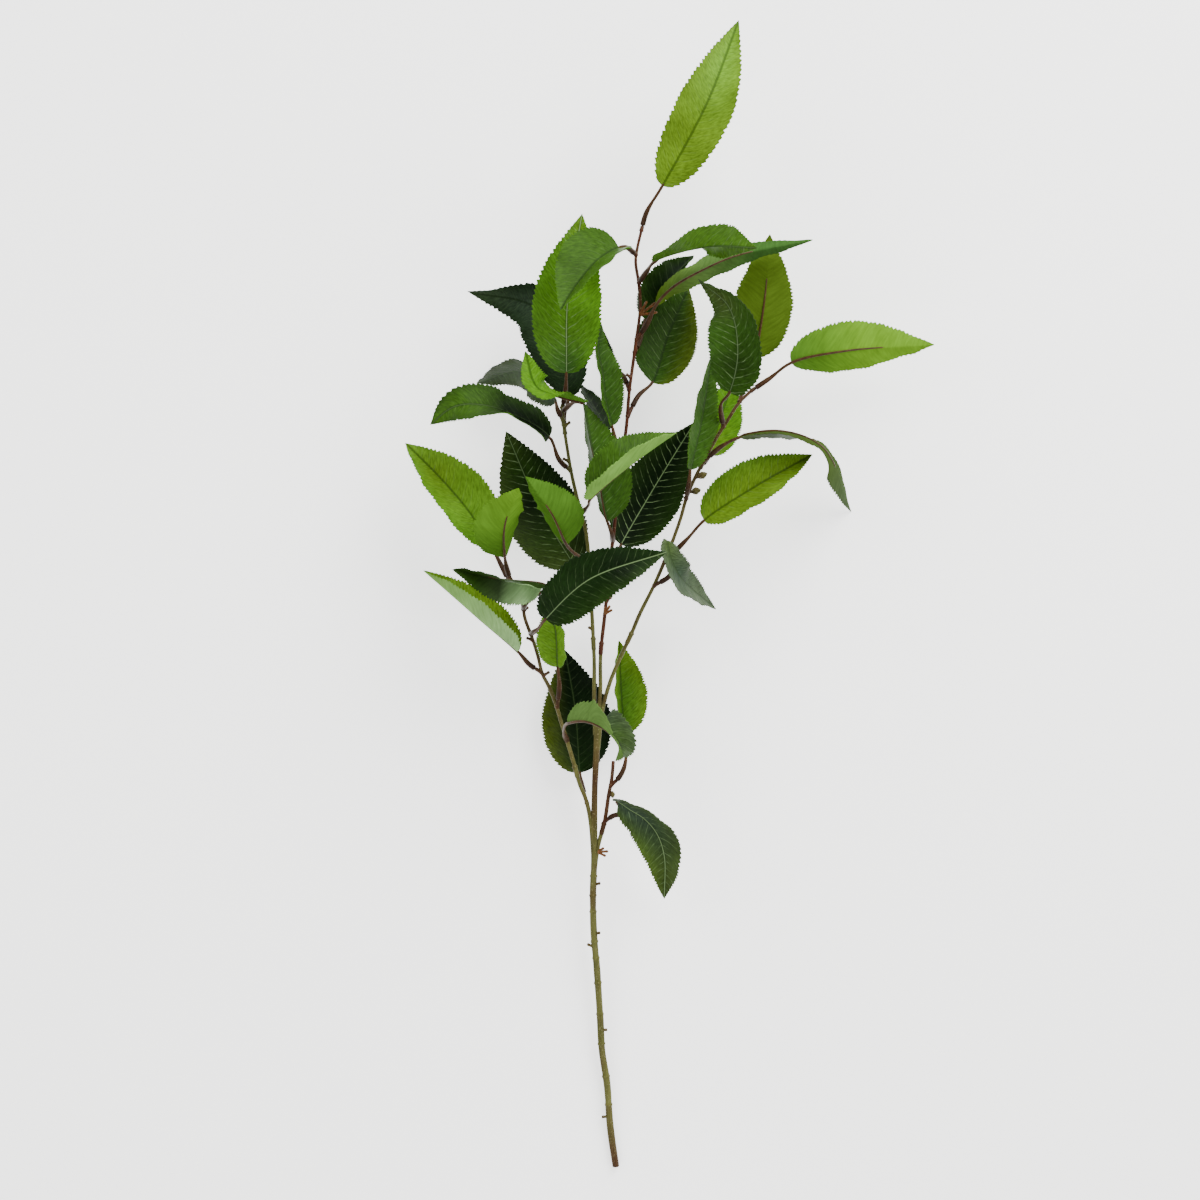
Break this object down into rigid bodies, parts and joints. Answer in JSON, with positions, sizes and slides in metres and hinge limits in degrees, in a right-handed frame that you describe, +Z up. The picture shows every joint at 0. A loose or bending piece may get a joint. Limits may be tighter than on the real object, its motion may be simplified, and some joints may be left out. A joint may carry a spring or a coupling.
{
  "type": "osmanthus branch",
  "caption": "Artificial osmanthus branch with serrated leaves on forked, plastic-coated stems, lying on its side.",
  "frame": {"origin": "middle of the bounding box, on the surface that the branch lies on", "axes": "+Y runs along the branch from the cut end of the main stem to the top leaf, +Z points up from the surface, and +X points to the right seen from above with the top leaf away from the viewer"},
  "size_m": [0.3418, 0.7492, 0.1294],
  "materials": {
    "leaf": "satin printed polyester, light to dark green",
    "spine": "moulded plastic, brown",
    "stem": "plastic-coated wire, olive",
    "twig": "plastic-coated wire, red-brown"
  },
  "bodies": {
    "root": {"leaf_top": "leaf", "leaf_02": "leaf", "leaf_03": "leaf", "leaf_04": "leaf", "leaf_05": "leaf", "leaf_06": "leaf", "leaf_07": "leaf", "leaf_08": "leaf", "leaf_09": "leaf", "leaf_10": "leaf", "leaf_11": "leaf", "leaf_12": "leaf", "leaf_13": "leaf", "leaf_14": "leaf", "leaf_15": "leaf", "leaf_16": "leaf", "leaf_17": "leaf", "leaf_18": "leaf", "leaf_19": "leaf", "leaf_20": "leaf", "leaf_21": "leaf", "leaf_22": "leaf", "leaf_23": "leaf", "leaf_24": "leaf", "leaf_25": "leaf", "leaf_26": "leaf", "leaf_27": "leaf", "leaf_28": "leaf", "leaf_29": "leaf", "leaf_30": "leaf", "leaf_31": "leaf", "leaf_32": "leaf", "leaf_33": "leaf", "leaf_34": "leaf", "leaf_35": "leaf", "leaf_36": "leaf", "leaf_37": "leaf", "main_stem": "stem", "branch_left": "twig", "branch_centre_left": "twig", "branch_leader": "twig", "branch_right": "twig", "branch_low_right": "twig"}
  },
  "joints": []
}
